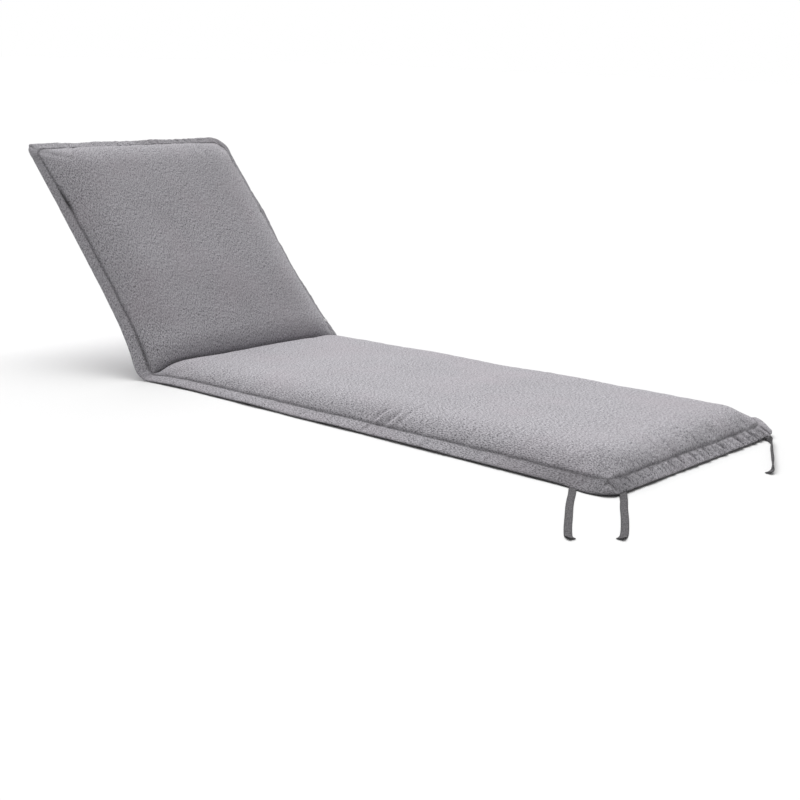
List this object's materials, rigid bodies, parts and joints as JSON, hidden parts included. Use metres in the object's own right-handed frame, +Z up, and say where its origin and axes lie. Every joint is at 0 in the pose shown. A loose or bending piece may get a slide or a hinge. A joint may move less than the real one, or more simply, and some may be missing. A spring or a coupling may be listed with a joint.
{
  "type": "seat and back cushion",
  "caption": "Long padded lounger cushion: a flat seat and a raised back in one filled piece, with a sewn channel at the bend, a flat hem all round and tie tapes towards the foot end.",
  "frame": {"origin": "middle of the seat's flat underside, on the surface that it rests on", "axes": "+X along the seat towards its foot end, +Y across the seat towards the side with the label, +Z up; the back rises towards -X"},
  "size_m": [1.7103, 0.8944, 0.475],
  "materials": {
    "fabric": "matt heathered mid-grey woven cloth with a fine mottled yarn, a little lighter where it faces up",
    "tape": "matt dark grey ribbed woven tape with firm edges",
    "label_tape": "plain pale satin-woven tape, blank"
  },
  "bodies": {
    "root": {"cushion": "fabric", "tie_near_side": "tape", "tie_near_end": "tape", "tie_far_end": "tape", "tie_far_side": "tape", "label": "label_tape"}
  },
  "joints": []
}
